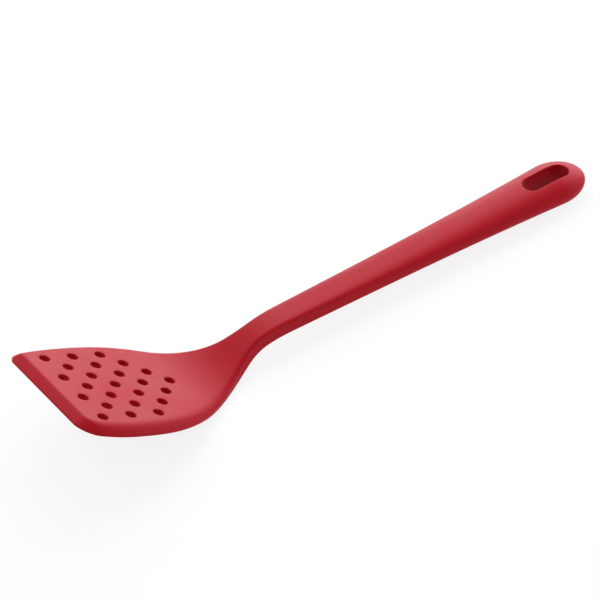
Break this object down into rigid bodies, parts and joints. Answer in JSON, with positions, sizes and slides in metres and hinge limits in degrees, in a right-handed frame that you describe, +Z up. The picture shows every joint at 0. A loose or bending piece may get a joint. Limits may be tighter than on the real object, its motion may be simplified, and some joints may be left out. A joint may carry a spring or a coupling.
{
  "type": "frying spatula",
  "caption": "Seamless silicone frying spatula with a flat perforated blade, bevelled rim, S-shaped neck and a tapering handle with a hanging slot.",
  "frame": {"origin": "middle of the bounding box's footprint, on the surface the tool lies on", "axes": "+X from the blade's front edge to the handle's end, +Y across the blade, +Z up from the surface. The tool lies on the blade's heel and the handle's end, with the blade's front raised."},
  "size_m": [0.3098, 0.0742, 0.0407],
  "materials": {
    "silicone": "soft matt silicone",
    "nylon": "moulded glass-filled nylon"
  },
  "bodies": {
    "root": {"silicone_skin": "silicone", "nylon_core": "nylon"}
  },
  "joints": []
}
